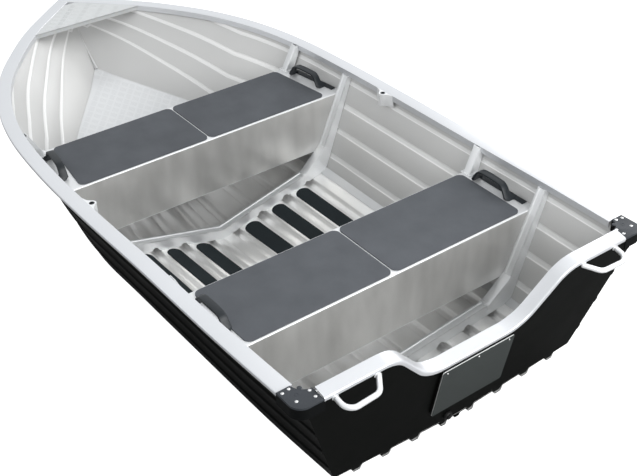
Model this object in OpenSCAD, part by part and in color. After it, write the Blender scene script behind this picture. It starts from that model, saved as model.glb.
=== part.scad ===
// Aluminium rowing boat with stamped bottom and side plates, two box seats,
// a cut-out transom for a small motor and an all-round gunwale rail.
// Axes of the boat: x forward, y to port, z up. It stands on its inmost pair of bottom ribs.

/* [Hull] */
// length of the plating from the transom top to the stem head
hull_length = 2940; // [2800:5:3100]
// greatest breadth over the plating
hull_breadth = 1440; // [1360:4:1520]
// height of the side amidships above the keel line
hull_depth = 592; // [560:2:630]
// thickness of the plating
plate_t = 3; // [2.5:0.1:4]

/* [Stamped ribs] */
// depth of the ribs pressed into the bottom
bottom_rib_depth = 19; // [14:1:22]
// depth of the ribs pressed into the sides
side_rib_depth = 5; // [3:0.5:8]

/* [Keel] */
// depth of the keel bar at the transom
keel_drop = 10; // [6:1:12]
// width of the keel bar
keel_w = 30; // [24:1:40]

/* [Gunwale rail] */
// width of the rail's flat top
rail_w = 58; // [50:1:64]
// drop of the rail's inner lip
rail_lip = 26; // [18:1:32]
// overhang of the rail outside the plating
rail_out = 26; // [20:1:30]

/* [Seats] */
// fore and aft size of a seat box
seat_l = 346; // [300:2:380]
// height of a seat box
seat_h = 254; // [200:2:270]
// rear face of the aft seat, forward of the transom top
aft_seat_x = 404; // [380:2:440]
// rear face of the forward seat, forward of the transom top
fwd_seat_x = 1590; // [1560:2:1620]
// height of the aft seat's top over the waterline datum
aft_seat_z = 449; // [430:1:465]
// height of the forward seat's top over the waterline datum
fwd_seat_z = 438; // [425:1:455]
// thickness of the grip pads
pad_t = 4; // [3:0.5:6]

/* [Frames] */
// width of a frame along the boat
frame_w = 38; // [30:1:44]
// height of a frame over the bottom plating
frame_h = 48; // [36:1:56]
// sheet thickness of frames and uprights
frame_t = 3; // [2.5:0.5:4]

/* [Rowlock sockets] */
// distance of the rowlock holes from the transom top
socket_x = 1304; // [1260:2:1340]
// diameter of the rowlock pin hole
socket_d = 13.4; // [12:0.1:16.4]
// height of the socket body
socket_h = 54; // [40:1:60]

/* [Transom] */
// height of the transom in the motor cut-out, below its full height
cut_depth = 186; // [150:2:200]
// half width of the cut-out at its mouth
cut_mouth = 412; // [396:1:424]
// width of the rail on top of the transom
cap_w = 51; // [46:1:58]
// width of the outer motor plate
motor_w = 312; // [260:2:320]
// height of the outer motor plate
motor_h = 228; // [200:2:240]
// thickness of the outer motor plate
motor_t = 12; // [8:1:18]

/* [Handles] */
// breadth of a carrying handle on the transom, between its rod's centres
carry_l = 148; // [130:1:160]
// reach of a carrying handle from the transom, to its rod's centre
carry_reach = 61; // [52:1:68]
// rod diameter of a carrying handle
carry_d = 18; // [14:0.5:20]
// height of a black grab handle
grab_h = 62; // [50:1:70]
// width of a black grab handle
grab_w = 40; // [30:1:44]

/* [View] */
// sub-part to draw

/* [Hidden] */

$fn = 48;
eps = 0.3;

// scale factors of the hull table below
kl = hull_length / 2940;
kb = hull_breadth / 1440;
kd = hull_depth / 592;
// places of the seats, which keep their share of the hull's length
fwd_x = fwd_seat_x * kl;
aft_x = aft_seat_x * kl;
// a grab handle's length and its start on its base strip, as shares of the seat's length
grab_l = seat_l * 200 / 346;
grab_start = seat_l * 44 / 346;

// Hull sections from the transom to the stem head, for the port half.
// Columns: sheer x, y, z, chine x, y, z, keel x, z
// All heights are over the waterline datum, 50 above the keel's after end.
HULL = [
    [ -35, 695, 566,   62, 530,  92,   68,   50],
    [ 400, 708, 560,  400, 545,  90,  400,   29],
    [ 850, 712, 555,  850, 552,  91,  850,    1],
    [1250, 720, 549, 1250, 556,  91, 1250,  -24],
    [1600, 718, 546, 1600, 556,  93, 1600,  -46],
    [1920, 694, 550, 1900, 506, 120, 1860,  -20],
    [2180, 632, 559, 2120, 406, 166, 2070,   24],
    [2400, 525, 572, 2300, 290, 215, 2240,   78],
    [2570, 392, 586, 2430, 180, 262, 2380,  144],
    [2700, 268, 596, 2530,  92, 300, 2500,  216],
    [2810, 130, 607, 2602,  40, 322, 2580,  274],
    [2905,   3, 617, 2648,   3, 342, 2642,  330]];
LAST = len(HULL) - 1;
SUB = 2;

// Pressed ribs. Columns: centre and half width as parts of the plate's breadth, depth factor
BOTTOM_RIBS = [[0.115, 0.036, 1.0], [0.355, 0.048, 1.0], [0.594, 0.048, 1.0], [0.823, 0.046, 0.95]];
SIDE_RIBS = [[0.16, 0.030, 1.0], [0.41, 0.030, 1.0], [0.65, 0.030, 1.0], [0.87, 0.022, 0.6]];

function unit(v) = v / norm(v);
function lerp(a, b, f) = a + (b - a) * f;
function clamp(v, lo, hi) = min(max(v, lo), hi);

// smooth row of the hull table at station t
function row(t) =
    let (i = clamp(floor(t), 0, LAST - 1), f = t - i,
         b = HULL[i], c = HULL[i + 1],
         a = i > 0 ? HULL[i - 1] : 2 * b - c,
         d = i + 2 <= LAST ? HULL[i + 2] : 2 * c - b)
    0.5 * (2 * b + (c - a) * f + (2 * a - 5 * b + 4 * c - d) * f * f
           + (3 * b - a - 3 * c + d) * f * f * f);

function sheer(t) = let (r = row(t)) [r[0] * kl, r[1] * kb, r[2] * kd];
function chine(t) = let (r = row(t)) [r[3] * kl, r[4] * kb, r[5] * kd];
function keel(t) = let (r = row(t)) [r[6] * kl, 0, r[7] * kd];

// station whose chine lies at length x, found by halving
function station(x, lo = 0, hi = LAST, n = 18) =
    n == 0 ? (lo + hi) / 2
    : let (m = (lo + hi) / 2) chine(m)[0] < x ? station(x, m, hi, n - 1) : station(x, lo, m, n - 1);

// plates: 0 is the bottom, keel to chine; 1 is the side, chine to sheer
function lower(p, t) = p == 0 ? keel(t) : chine(t);
function upper(p, t) = p == 0 ? chine(t) : sheer(t);
function on_plate(p, t, u) = lerp(lower(p, t), upper(p, t), u);
function outward(p, t, u) =
    let (ta = max(t - 0.1, 0), tb = min(t + 0.1, LAST),
         along = on_plate(p, tb, u) - on_plate(p, ta, u),
         up = upper(p, t) - lower(p, t))
    unit(cross(up, along));

// ribs rise towards the bow on the sides and fade out on the bottom
function rib_lift(p, t) = p == 0 ? 0 : 0.13 * max(0, t - 6.3 ) * (t < 10.5 ? 1 : 0.9);
function rib_fade(p, t) = p == 0 ? clamp((8 - t) / 2, 0, 1) : clamp((10.6 - t) / 1.5, 0, 1);
function rib_depth(p) = p == 0 ? bottom_rib_depth : side_rib_depth;

// [u, depth] along a plate's section at station t
function rib_points(p, t) =
    let (ribs = p == 0 ? BOTTOM_RIBS : SIDE_RIBS, start = p == 0 ? 0 : 0.014)
    concat([[start, 0]],
        [for (r = ribs)
            let (c = min(r[0] + rib_lift(p, t) * (1 - 0.5 * r[0]), 0.955 - (0.9 - r[0]) * 0.12),
                 h = r[1] * (p == 0 ? 1 : lerp(1, 0.5, clamp((t - 6) / 5, 0, 1))),
                 d = rib_depth(p) * r[2] * rib_fade(p, t))
            for (k = [[-1, 0], [-0.45, 1], [0.45, 1], [1, 0]]) [c + k[0] * h, d * k[1]]],
        [[1, 0]]);

function skin_point(p, t, q, inset) =
    let (n = outward(p, t, q[0]), s = on_plate(p, t, q[0]) + n * (q[1] - inset))
    p == 0 && q[0] == 0 ? [s[0], 0, s[2]] : [s[0], max(s[1], 0.4), s[2]];

// closed solid between two grids of points, rows by columns
module grid_solid(a, b) {
    rows = len(a);
    cols = len(a[0]);
    pts = concat([for (r = a) each r], [for (r = b) each r]);
    off = rows * cols;
    function id(i, j) = i * cols + j;
    faces = concat(
        [for (i = [0 : rows - 2]) for (j = [0 : cols - 2])
            each [[id(i, j), id(i, j + 1), id(i + 1, j + 1)], [id(i, j), id(i + 1, j + 1), id(i + 1, j)]]],
        [for (i = [0 : rows - 2]) for (j = [0 : cols - 2])
            each [[off + id(i, j), off + id(i + 1, j + 1), off + id(i, j + 1)],
                  [off + id(i, j), off + id(i + 1, j), off + id(i + 1, j + 1)]]],
        [for (j = [0 : cols - 2])
            each [[id(0, j), off + id(0, j), off + id(0, j + 1)], [id(0, j), off + id(0, j + 1), id(0, j + 1)]]],
        [for (j = [0 : cols - 2])
            each [[id(rows - 1, j), off + id(rows - 1, j + 1), off + id(rows - 1, j)],
                  [id(rows - 1, j), id(rows - 1, j + 1), off + id(rows - 1, j + 1)]]],
        [for (i = [0 : rows - 2])
            each [[id(i, 0), off + id(i + 1, 0), off + id(i, 0)], [id(i, 0), id(i + 1, 0), off + id(i + 1, 0)]]],
        [for (i = [0 : rows - 2])
            each [[id(i, cols - 1), off + id(i, cols - 1), off + id(i + 1, cols - 1)],
                  [id(i, cols - 1), off + id(i + 1, cols - 1), id(i + 1, cols - 1)]]]);
    polyhedron(pts, faces);
}

// closed solid through a list of equal closed sections
module swept(sections) {
    n = len(sections[0]);
    m = len(sections);
    pts = [for (s = sections) each s];
    faces = concat(
        [for (i = [0 : m - 2]) for (j = [0 : n - 1])
            let (k = (j + 1) % n)
            each [[i * n + j, (i + 1) * n + j, (i + 1) * n + k], [i * n + j, (i + 1) * n + k, i * n + k]]],
        [[for (j = [0 : n - 1]) j]],
        [[for (j = [n - 1 : -1 : 0]) (m - 1) * n + j]]);
    polyhedron(pts, faces);
}

// The boat stands on its inmost pair of bottom ribs: their low points, and the slope they give it
foot_u = BOTTOM_RIBS[0][0] - 0.45 * BOTTOM_RIBS[0][1];
feet = [for (t = [0 : 0.5 : 4]) skin_point(0, t, [foot_u, bottom_rib_depth], 0)];
keel_slope = atan2(feet[0][2] - feet[7][2], feet[7][0] - feet[0][0]);
floor_z = min([for (p = feet) p[0] * sin(keel_slope) + p[2] * cos(keel_slope)]);
// middle of the boat's length
mid_x = 1385.5 * kl;

// stance of the boat on a floor
module stand() {
    translate([-mid_x, 0, -floor_z]) rotate([0, -keel_slope, 0]) children();
}

module both_sides() {
    children();
    mirror([0, 1, 0]) children();
}

// Plating

module plate(p) {
    ts = [for (i = [0 : LAST * SUB]) i / SUB];
    outer = [for (t = ts) [for (q = rib_points(p, t)) skin_point(p, t, q, 0)]];
    inner = [for (t = ts) [for (q = rib_points(p, t)) skin_point(p, t, q, plate_t)]];
    grid_solid(outer, inner);
}

module hull_bottom_port() { color([0.78, 0.79, 0.80]) plate(0); }
module hull_bottom_starboard() { color([0.78, 0.79, 0.80]) mirror([0, 1, 0]) plate(0); }
module hull_side_port() { color([0.10, 0.10, 0.10]) plate(1); }
module hull_side_starboard() { color([0.10, 0.10, 0.10]) mirror([0, 1, 0]) plate(1); }

// station of the after edge of the bow's floor plate, under the front of the forward seat
bow_floor_from = 5.1;
bow_floor_lift = 8;

// patterned floor plate in the bow, from chine to chine and up to the foot of the stem
module bow_floor() {
    function edge(t, h, up) = skin_point(1, t, [h / norm(sheer(t) - chine(t)), 0], plate_t - eps) * [[1, 0, 0], [0, up, 0], [0, 0, 1]];
    ts = [for (i = [0 : 12]) lerp(bow_floor_from, LAST - 0.2, i / 12)];
    color([0.80, 0.81, 0.82]) swept([for (t = ts)
        [edge(t, bow_floor_lift, 1), edge(t, bow_floor_lift, -1),
         edge(t, bow_floor_lift - 3, -1), edge(t, bow_floor_lift - 3, 1)]]);
}

// flat strip that closes the corner of side and bottom, inside
module chine_strip() {
    ts = [for (i = [0 : 12]) lerp(0.12, bow_floor_from + 0.1, i / 12)];
    secs = [for (t = ts)
        let (c = chine(t), w = clamp(c[1] * 0.10, 8, 30),
             ub = 1 - w / norm(chine(t) - keel(t)), us = w * 0.45 / norm(sheer(t) - chine(t)),
             a = skin_point(0, t, [ub, 0], plate_t - eps), b = skin_point(1, t, [us, 0], plate_t - eps),
             n = -(outward(0, t, 1) + outward(1, t, 0)) / 2)
        [a, b, b + n * 4, a + n * 4]];
    swept(secs);
}

module chine_strips() { color([0.85, 0.86, 0.87]) both_sides() chine_strip(); }

// bar along the outside of the keel line, from the transom to the forefoot
module keel_bar() {
    ts = [for (i = [0 : 22]) i / 2];
    secs = [for (t = ts)
        let (a = keel(min(t + 0.1, LAST)) - keel(max(t - 0.1, 0)), n = unit([a[2], 0, -a[0]]),
             k = keel(t) - n * eps, w = keel_w / 2 * lerp(1, 0.55, clamp((t - 6) / 5, 0, 1)),
             dn = lerp(keel_drop, keel_drop * 0.25, min(t / 4, 1)) + 3 * clamp((t - 4) / 2, 0, 1) + eps)
        [k + [0, w, 0], k + [0, -w, 0], k + [0, -w * 0.6, 0] + n * dn, k + [0, w * 0.6, 0] + n * dn]];
    color([0.12, 0.12, 0.12]) swept(secs);
}

// bar over the joint of the two sides at the stem
module stem_bar() {
    function centre(f) = let (a = chine(LAST), b = sheer(LAST) - [0, 0, 6])
        lerp([a[0], 0, a[2]], [b[0], 0, b[2]], f) + [12 * sin(180 * f) * kl, 0, -10 * sin(180 * f) * kd];
    secs = [for (i = [0 : 6])
        let (f = i / 6, a = centre(min(f + 0.05, 1)) - centre(max(f - 0.05, 0)), n = unit([a[2], 0, -a[0]]), c = centre(f))
        [c + [0, 9, 0] - n * 9, c + [0, -9, 0] - n * 9, c + [0, -9, 0] + n * 2, c + [0, -5, 0] + n * 7,
         c + [0, 5, 0] + n * 7, c + [0, 9, 0] + n * 2]];
    color([0.14, 0.14, 0.14]) swept(secs);
}

// Gunwale rail

// the rail's section: outward and upward steps from the plating's top edge
RAIL = [[rail_out - rail_w, 0], [rail_out - 3, 0], [rail_out, -3], [rail_out, -13], [rail_out - 3, -13], [rail_out - 3, -4],
        [rail_out - rail_w + 3, -4], [rail_out - rail_w + 3, -rail_lip], [rail_out - rail_w, -rail_lip]];

function rail_side(t) =
    let (a = sheer(min(t + 0.1, LAST)) - sheer(max(t - 0.1, 0))) unit([-a[1], a[0], 0]);
function rail_along(t) = let (a = sheer(min(t + 0.1, LAST)) - sheer(max(t - 0.1, 0))) unit(a);

module gunwale() {
    t0 = station_of_rail((corner_x + corner_l + 1) * kl);
    ts = [for (i = [0 : 26]) lerp(t0, LAST, i / 26)];
    secs = [for (t = ts)
        [for (r = RAIL)
            let (n = rail_side(t), g = rail_along(t), q = sheer(t) + n * r[0] + [0, 0, r[1]])
            t < LAST ? q : q + g * (q[1] / -g[1])]];
    swept(secs);
}

// station whose sheer lies at length x
function station_of_rail(x, lo = 0, hi = LAST, n = 18) =
    n == 0 ? (lo + hi) / 2
    : let (m = (lo + hi) / 2) sheer(m)[0] < x ? station_of_rail(x, m, hi, n - 1)
                                              : station_of_rail(x, lo, m, n - 1);

module gunwale_port() { color([0.86, 0.87, 0.88]) gunwale(); }
module gunwale_starboard() { color([0.86, 0.87, 0.88]) mirror([0, 1, 0]) gunwale(); }

// triangular deck plate in the bow with a turned-down after edge
module breasthook() {
    x0 = 2680 * kl;
    t0 = station_of_rail(x0);
    lift = 15;
    ts = [for (i = [0 : 8]) lerp(t0, LAST - 0.35, i / 8)];
    edge = [for (t = ts) sheer(t) + rail_side(t) * (rail_out - rail_w + 1.5)];
    za = sheer(t0)[2] - 1.5;
    slope = atan((sheer(LAST)[2] - sheer(t0)[2]) / (sheer(LAST)[0] - x0));
    color([0.72, 0.73, 0.74]) translate([0, 0, za]) translate([edge[0][0], 0, 0]) rotate([0, -slope, 0]) {
        translate([0, 0, -3]) linear_extrude(3) polygon(concat(
            [for (e = edge) [(e[0] - edge[0][0]), max(e[1], 2)]],
            [for (i = [8 : -1 : 0]) [(edge[i][0] - edge[0][0]), -max(edge[i][1], 2)]]));
        translate([0, -edge[0][1] + 4, -19]) cube([3, 2 * edge[0][1] - 8, 17]);
    }
}

// Frames, seats and uprights

// inside face of the side plating at length x and height z
function inner_side(x, z) =
    let (t = station(x), c = chine(t), s = sheer(t)) lerp(c[1], s[1], (z - c[2]) / (s[2] - c[2])) - plate_t * 1.06;
// inside face of the bottom plating at length x and half breadth y
function inner_bottom(x, y) =
    let (t = station(x), k = keel(t), c = chine(t)) lerp(k[2], c[2], y / c[1]) + plate_t * 1.02;

// half breadths where a frame stands on the bottom, and the clear grooves between
function rib_spans(x) = let (c = chine(station(x))) [for (r = BOTTOM_RIBS) [(r[0] - r[1]) * c[1], (r[0] + r[1]) * c[1]]];

// outline of a frame's half: along the plating outside, then back along its inner edge
function frame_outer(x) =
    let (c = chine(station(x)), top = sheer(station(x))[2] - rail_lip + 2)
    [[0, inner_bottom(x, 0) - eps], [c[1] - 34, inner_bottom(x, c[1] - 34) - eps],
     [inner_side(x, c[2] + 14) + eps, c[2] + 14], [inner_side(x, top) + eps, top]];
function frame_inner(x) =
    let (c = chine(station(x)), top = sheer(station(x))[2] - rail_lip + 2)
    [[inner_side(x, top) - 26, top], [inner_side(x, c[2] + 116) - 52, c[2] + 116],
     [c[1] - 112, inner_bottom(x, c[1] - 112) + frame_h], [0, inner_bottom(x, 0) + frame_h]];

function mirrored(pts) = concat(pts, [for (i = [len(pts) - 1 : -1 : 0]) [-pts[i][0], pts[i][1]]]);

// extrudes a y-z outline along x
module across(x, l) {
    translate([x, 0, 0]) rotate([90, 0, 90]) linear_extrude(l) children();
}

module frame(x) {
    xm = x + frame_w / 2;
    o = frame_outer(xm);
    i = frame_inner(xm);
    color([0.80, 0.81, 0.82]) both_sides() {
        difference() {
            union() {
                for (dx = [0, frame_w - frame_t])
                    across(x + dx, frame_t) polygon(concat(o, i));
                across(x, frame_w) polygon([i[0], i[1], i[2], i[3], i[3] - [0, frame_t * 1.1], i[2] - [-2, frame_t * 1.1] - [2, 0],
                                            i[1] + [frame_t * 1.1, 0], i[0] + [frame_t * 1.1, 0]]);
            }
            for (s = rib_spans(xm)) if (s[0] > 60)
                translate([x - 1, (s[0] + s[1]) / 2, inner_bottom(xm, (s[0] + s[1]) / 2) - 3]) rotate([0, 90, 0])
                    cylinder(r = (s[1] - s[0]) / 2 * 0.62, h = frame_w + 2);
        }
    }
}

module forward_frame() { frame(fwd_x - frame_w); }
module aft_frame() { frame(aft_x - frame_w); }

// closed box across the boat, its ends shaped to the sides
module seat_box(x, z) {
    zb = z - seat_h;
    secs = [for (i = [0 : 4])
        let (xi = x + seat_l * i / 4, yt = inner_side(xi, z) + eps, yb = inner_side(xi, zb) + eps)
        [[xi, yt, z], [xi, -yt, z], [xi, -yb, zb], [xi, yb, zb]]];
    color([0.80, 0.80, 0.79]) swept(secs);
}

module forward_seat() { seat_box(fwd_x, fwd_seat_z); }
module aft_seat() { seat_box(aft_x, aft_seat_z); }

// short channels from the front corners of the seats up to the rail
module upright(x, z) {
    top = sheer(station(x))[2] - 4;
    y0 = inner_side(x + 17, z);
    y1 = inner_side(x + 17, top);
    function web(h) = lerp(y0 - 44, y1 - 34, (h - z) / (top - z)) + 3.2;
    difference() {
        across(x, 34) polygon([[y0 + eps, z - eps], [y1 + eps - 4, top], [y1 - 34, top], [y0 - 44, z - eps]]);
        across(x + 3, 28) polygon([[y0 + 5, z + 6], [y1 + 5, top + 1], [web(top + 1), top + 1], [web(z + 6), z + 6]]);
    }
}

module seat_uprights() {
    color([0.84, 0.85, 0.86]) both_sides() {
        upright(fwd_x + seat_l - 36, fwd_seat_z);
        upright(aft_x + seat_l - 36, aft_seat_z);
    }
}

// Grip pads

// four-cornered outline with round corners
module round_quad(p, r) {
    n = len(p);
    ins = [for (i = [0 : n - 1])
        let (a = unit(p[(i + n - 1) % n] - p[i]), b = unit(p[(i + 1) % n] - p[i]), h = acos(a * b) / 2)
        p[i] + unit(a + b) * r / sin(h)];
    polygon([for (i = [0 : n - 1])
        let (a = unit(p[(i + n - 1) % n] - p[i]), b = unit(p[(i + 1) % n] - p[i]), h = acos(a * b) / 2)
        each [p[i] + a * r / tan(h), p[i] + b * r / tan(h)]]);
    for (c = ins) translate(c) circle(r);
}

// two pads on a seat, port and starboard of a narrow gap
module seat_pads(x, z, edge) {
    y0 = inner_side(x + 20, z) - edge;
    y1 = inner_side(x + seat_l - 20, z) - edge;
    color([0.27, 0.28, 0.30]) both_sides() translate([0, 0, z]) linear_extrude(pad_t)
        round_quad([[x + 7, 4], [x + seat_l - 5, 4], [x + seat_l - 5, y1], [x + 7, y0]], 26);
}

module forward_seat_pads() { seat_pads(fwd_x, fwd_seat_z, 84); }
module aft_seat_pads() { seat_pads(aft_x, aft_seat_z, 66); }

// long strips on the bottom between the ribs, round at their forward ends
// Columns: inner and outer edge as parts of the half breadth at the chine
FLOOR_PADS = [[0.160, 0.288], [0.418, 0.532], [0.655, 0.768]];
pad_from = 770;
pad_to = 1540;

module floor_strip(q) {
    r = (q[1] - q[0]) / 2 * 556;
    c = (q[0] + q[1]) / 2;
    half = (q[1] - q[0]) / 2;
    // steps along the strip: distance back from the tip and width factor
    tip = [for (a = [80 : -20 : 0]) [r * (1 - sin(a)), cos(a)]];
    steps = concat([for (i = [0 : 5]) [lerp(pad_from, pad_to - r, i / 6), 1]], [for (i = [4 : -1 : 0]) [pad_to - tip[i][0], tip[i][1]]]);
    secs = [for (s = steps)
        let (t = station(s[0] * kl), a = c - half * s[1], b = c + half * s[1])
        [skin_point(0, t, [a, 0], plate_t - eps), skin_point(0, t, [b, 0], plate_t - eps),
         skin_point(0, t, [b, 0], plate_t + 3.5), skin_point(0, t, [a, 0], plate_t + 3.5)]];
    swept(secs);
}

module floor_strips() {
    color([0.16, 0.18, 0.19]) for (q = FLOOR_PADS) floor_strip(q);
}

module floor_pads_port() { floor_strips(); }
module floor_pads_starboard() { mirror([0, 1, 0]) floor_strips(); }

// Rowlock sockets and grab handles

module rowlock_socket() {
    t = station(socket_x * kl);
    top = sheer(t)[2];
    edge = sheer(t)[1] + rail_out - rail_w;
    color([0.80, 0.81, 0.82]) translate([socket_x * kl, edge, top - socket_h]) difference() {
        linear_extrude(socket_h) union() {
            translate([0, -13]) circle(r = 17);
            polygon([[-54, 1], [-30, -6], [-14, -23], [14, -23], [30, -6], [54, 1]]);
        }
        translate([0, -13, -1]) cylinder(d = socket_d, h = socket_h + 2);
        translate([0, -13, socket_h - 8]) cylinder(d = 21, h = 9);
    }
}

module rowlock_socket_port() { rowlock_socket(); }
module rowlock_socket_starboard() { mirror([0, 1, 0]) rowlock_socket(); }

// flat bar bent into an arch, seen from its side
module arch_outline(l, h, r) {
    square([l, h - r]);
    translate([r, h - r]) circle(r);
    translate([l - r, h - r]) circle(r);
    translate([r, 0]) square([l - 2 * r, h]);
}

// black moulded handle with a base strip, on the end of a seat
module grab_handle(x, z) {
    xa = x + 40;
    xb = x + seat_l - 46;
    ya = inner_side(xa, z + 4) - 4;
    yb = inner_side(xb, z + 4) - 4;
    turn = atan2(yb - ya, xb - xa);
    translate([xa, ya, z - eps]) rotate([0, 0, turn]) {
        translate([0, -24, 0]) cube([xb - xa, 24, 5]);
        translate([grab_start, -10, 0]) rotate([90, 0, 0]) linear_extrude(grab_w) difference() {
            arch_outline(grab_l, grab_h, 30);
            translate([15, -1]) arch_outline(grab_l - 30, grab_h - 13, 20);
        }
    }
}

module grab_handles() {
    color([0.06, 0.06, 0.06]) both_sides() {
        grab_handle(fwd_x, fwd_seat_z);
        grab_handle(aft_x, aft_seat_z);
    }
}

// Transom, with its cap, corners, motor plate and carrying handles

// the transom's own plane: y across, z up along the slope, x forward of its outer face
module on_transom() {
    translate([sheer(0)[0], 0, sheer(0)[2]]) rotate([0, -rake, 0]) children();
}
rake = atan2(chine(0)[0] - sheer(0)[0], sheer(0)[2] - chine(0)[2]);

// height in the transom's plane of a height over the datum
function tz(z) = (z - sheer(0)[2]) / cos(rake);

// right half of the S-shaped cut-out edge, from its level floor up to the mouth
cut_r_low = 150;
cut_r_top = 120;
cut_a = 50;
// half width of its level floor, from which the three curves run on smoothly
cut_floor = cut_mouth - (cut_r_low + cut_r_top) * sin(cut_a)
            - (cut_depth - (cut_r_low + cut_r_top) * (1 - cos(cut_a))) / tan(cut_a);
function cut_edge(lift) =
    let (v = -cut_depth + lift)
    concat(
        [for (i = [0 : 6]) let (a = cut_a * i / 6)
            [cut_floor + cut_r_low * sin(a), v + cut_r_low * (1 - cos(a))]],
        [for (i = [6 : -1 : 0]) let (a = cut_a * i / 6)
            [cut_mouth - cut_r_top * sin(a), lift - cut_r_top * (1 - cos(a))]]);

function transom_foot() =
    [for (q = rib_points(0, 0)) let (s = skin_point(0, 0, q, -0.2)) [s[1], tz(s[2])]];
function transom_edge() =
    [for (v = [0.10, 0.4, 0.7, 0.97]) let (s = on_plate(1, 0, v)) [s[1] + 1, tz(s[2])]];

module transom_plate() {
    half = concat(transom_foot(), transom_edge(), [[sheer(0)[1] - 12, -6]],
                  [for (i = [13 : -1 : 0]) cut_edge(-6)[i]], [[0, -cut_depth - 6]]);
    color([0.10, 0.10, 0.10]) on_transom() both_sides()
        rotate([90, 0, 90]) linear_extrude(plate_t) polygon(half);
}

// flat rail with turned-down lips along the top of the transom
module cap_band(top, bottom) {
    polygon(concat([[0, -cut_depth + top]], cut_edge(top), [[cap_end, top], [cap_end, bottom]],
                   [for (i = [13 : -1 : 0]) cut_edge(bottom)[i]], [[0, -cut_depth + bottom]]));
}
cap_end = 630 * kb;
cap_out = 3;
cap_lip = 8;

module transom_cap() {
    color([0.86, 0.87, 0.88]) on_transom() both_sides() {
        translate([-cap_out, 0, 0]) rotate([90, 0, 90]) linear_extrude(cap_w) cap_band(4, 0);
        translate([-cap_out, 0, 0]) rotate([90, 0, 90]) linear_extrude(cap_out - 0.2) cap_band(4, -cap_lip);
        translate([cap_w - cap_out - 3, 0, 0]) rotate([90, 0, 90]) linear_extrude(3) cap_band(4, -12);
        translate([plate_t - 0.2, 0, 0]) rotate([90, 0, 90]) linear_extrude(3) cap_band(2, -14);
    }
}

// moulded corner between the gunwale rail and the transom cap: its rear edge, length, radius and wall
corner_x = -38;
corner_l = 105;
corner_r = 44;
corner_t = 4;

// plan of the corner without its hollow edge, drawn in by an inset
module corner_block(inset, from, length) {
    x0 = corner_x + inset;
    y0 = sheer(0)[1] + 31 - inset;
    r = corner_r - inset;
    translate([x0 + r, y0 - r]) intersection() {
        circle(r);
        translate([-r, -0.5]) square(r + 1);
    }
    translate([x0 + r, from]) square([length - r, y0 - from]);
    translate([x0, from]) square([r + 0.5, y0 - r - from]);
}

module corner_casting() {
    z = sheer(0)[2];
    color([0.40, 0.42, 0.45]) translate([0, 0, z - 4]) difference() {
        translate([0, 0, -40]) linear_extrude(47) difference() {
            corner_block(0, cap_end + 1, corner_l);
            translate([72, cap_end - 3]) circle(r = 51);
        }
        translate([0, 0, -41]) linear_extrude(41) corner_block(corner_t, cap_end - 5, corner_l + 20);
    }
}

module corner_casting_port() { corner_casting(); }
module corner_casting_starboard() { mirror([0, 1, 0]) corner_casting(); }

module motor_plate() {
    color([0.30, 0.31, 0.32]) on_transom()
        translate([-motor_t, -motor_w / 2 - 10, -cut_depth - 12 - motor_h]) rotate([90, 0, 90])
            linear_extrude(motor_t + 0.2) round_quad([[0, 0], [motor_w, 0], [motor_w, motor_h], [0, motor_h]], 8);
}

// round rod along a level line of corners, each with its bend radius. Columns: x, y, radius
// The bends are a hair thicker than the straight legs, which reach a little into them.
module bent_rod(line, d) {
    n = len(line);
    pts = [for (q = line) [q[0], q[1]]];
    back = [for (i = [0 : n - 1]) i == 0 ? [0, 0] : unit(pts[i - 1] - pts[i])];
    on = [for (i = [0 : n - 1]) i == n - 1 ? [0, 0] : unit(pts[i + 1] - pts[i])];
    half = [for (i = [0 : n - 1]) i == 0 || i == n - 1 ? 90 : acos(back[i] * on[i]) / 2];
    cut = [for (i = [0 : n - 1]) i == 0 || i == n - 1 ? 0 : line[i][2] / tan(half[i]) - 0.8];
    for (i = [0 : n - 2])
        translate(pts[i] + on[i] * cut[i]) rotate([0, 90, atan2(on[i][1], on[i][0])])
            cylinder(d = d, h = norm(pts[i + 1] - pts[i]) - cut[i] - cut[i + 1]);
    for (i = [1 : n - 2]) {
        in = unit(back[i] + on[i]);
        translate(pts[i] + in * line[i][2] / sin(half[i]))
            rotate([0, 0, atan2(-in[1], -in[0]) - (90 - half[i])])
                rotate_extrude(angle = 180 - 2 * half[i]) translate([line[i][2], 0]) circle(d = d + 0.1);
    }
}

// cast handles under the outer ends of the cap, their inboard legs splayed
module carry_handle() {
    y1 = 588;
    on_transom() translate([0, 0, -22]) bent_rod([[0.2, y1, 0], [-carry_reach, y1, 26], [-carry_reach + 6, y1 - carry_l + 28, 22],
                                                  [0.2, y1 - carry_l - 10, 0]], carry_d);
}

module transom_handles() { color([0.84, 0.85, 0.87]) both_sides() carry_handle(); }

module drain_plug() {
    color([0.05, 0.05, 0.05]) on_transom() translate([-9, 48, tz(78 * kd)]) rotate([0, 90, 0]) {
        cylinder(d = 34, h = 9.2);
        translate([0, 0, -5]) cylinder(d = 20, h = 6);
    }
}

stand() hull_bottom_port();
stand() hull_bottom_starboard();
stand() hull_side_port();
stand() hull_side_starboard();
stand() chine_strips();
stand() bow_floor();
stand() keel_bar();
stand() stem_bar();
stand() transom_plate();
stand() transom_cap();
stand() gunwale_port();
stand() gunwale_starboard();
stand() corner_casting_port();
stand() corner_casting_starboard();
stand() breasthook();
stand() forward_frame();
stand() aft_frame();
stand() seat_uprights();
stand() forward_seat();
stand() aft_seat();
stand() forward_seat_pads();
stand() aft_seat_pads();
stand() floor_pads_port();
stand() floor_pads_starboard();
stand() grab_handles();
stand() rowlock_socket_port();
stand() rowlock_socket_starboard();
stand() motor_plate();
stand() transom_handles();
stand() drain_plug();
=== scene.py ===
"""Looks of a small aluminium rowing boat. Lengths are millimetres in the boat's own axes until stand()."""

import math

import bmesh
import bpy
from mathutils import Matrix, Vector


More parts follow.
